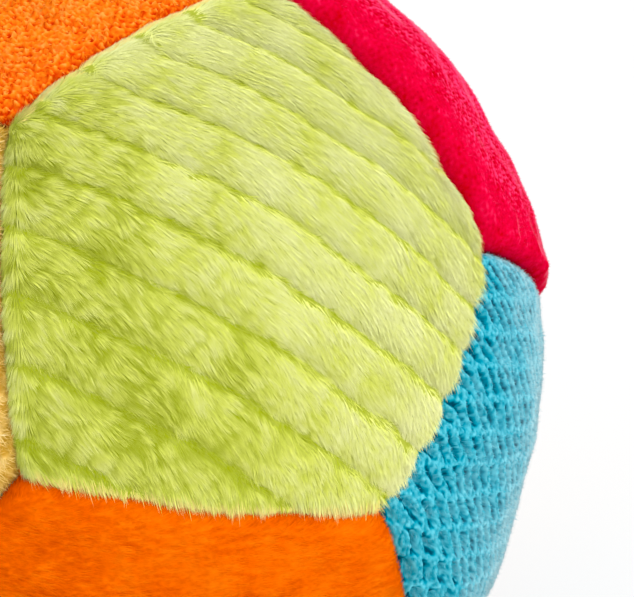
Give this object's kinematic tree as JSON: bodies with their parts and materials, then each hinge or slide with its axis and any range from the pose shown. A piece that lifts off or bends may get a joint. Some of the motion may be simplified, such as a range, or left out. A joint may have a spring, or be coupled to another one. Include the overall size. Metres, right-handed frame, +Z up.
{
  "type": "sensory ball",
  "caption": "Soft stuffed patchwork ball of puffed five-sided panels in different fabrics, sewn over fibre filling with a sealed rattle capsule in the middle.",
  "frame": {"origin": "middle of the small flat on the lowest panel, on the surface that the ball stands on", "axes": "+Z up through the middles of the lowest and the uppermost panel, -Y towards the front lime panel, +X to its right"},
  "size_m": [0.1274, 0.128, 0.1295],
  "materials": {
    "orange_terry": "matte",
    "lime_plush": "matte",
    "red_velour": "matte",
    "blue_waffle": "matte",
    "orange_velour": "matte",
    "cream_fleece": "matte",
    "overlock_thread": "matte",
    "hand_thread": "matte",
    "fibre_filling": "matte",
    "capsule_plastic": "satin",
    "bead_plastic": "gloss"
  },
  "bodies": {
    "ball": {"terry_panel_top": "orange_terry", "terry_panel_bottom": "orange_terry", "lime_plush_panel_front": "lime_plush", "lime_plush_panel_back": "lime_plush", "red_velour_panel_right": "red_velour", "red_velour_panel_left": "red_velour", "blue_waffle_panel_right": "blue_waffle", "blue_waffle_panel_left": "blue_waffle", "orange_velour_panel_front": "orange_velour", "orange_velour_panel_back": "orange_velour", "cream_fleece_panel_left": "cream_fleece", "cream_fleece_panel_right": "cream_fleece", "seam_overlock": "overlock_thread", "closing_stitches": "hand_thread", "fibre_filling": "fibre_filling", "rattle_shell_lower": "capsule_plastic", "rattle_shell_upper": "capsule_plastic"},
    "bead_1": {"rattle_bead_1": "bead_plastic"},
    "bead_2": {"rattle_bead_2": "bead_plastic"},
    "bead_3": {"rattle_bead_3": "bead_plastic"},
    "bead_4": {"rattle_bead_4": "bead_plastic"},
    "bead_5": {"rattle_bead_5": "bead_plastic"}
  },
  "joints": [
    {"name": "bead_1_hop", "type": "slide", "parent": "ball", "child": "bead_1", "axis": [0, 0, 1], "range_m": [0, 0.0165]},
    {"name": "bead_2_hop", "type": "slide", "parent": "ball", "child": "bead_2", "axis": [0, 0, 1], "range_m": [0, 0.0165]},
    {"name": "bead_3_hop", "type": "slide", "parent": "ball", "child": "bead_3", "axis": [0, 0, 1], "range_m": [0, 0.0165]},
    {"name": "bead_4_hop", "type": "slide", "parent": "ball", "child": "bead_4", "axis": [0, 0, 1], "range_m": [0, 0.0165]},
    {"name": "bead_5_hop", "type": "slide", "parent": "ball", "child": "bead_5", "axis": [0, 0, 1], "range_m": [0, 0.0165]}
  ]
}
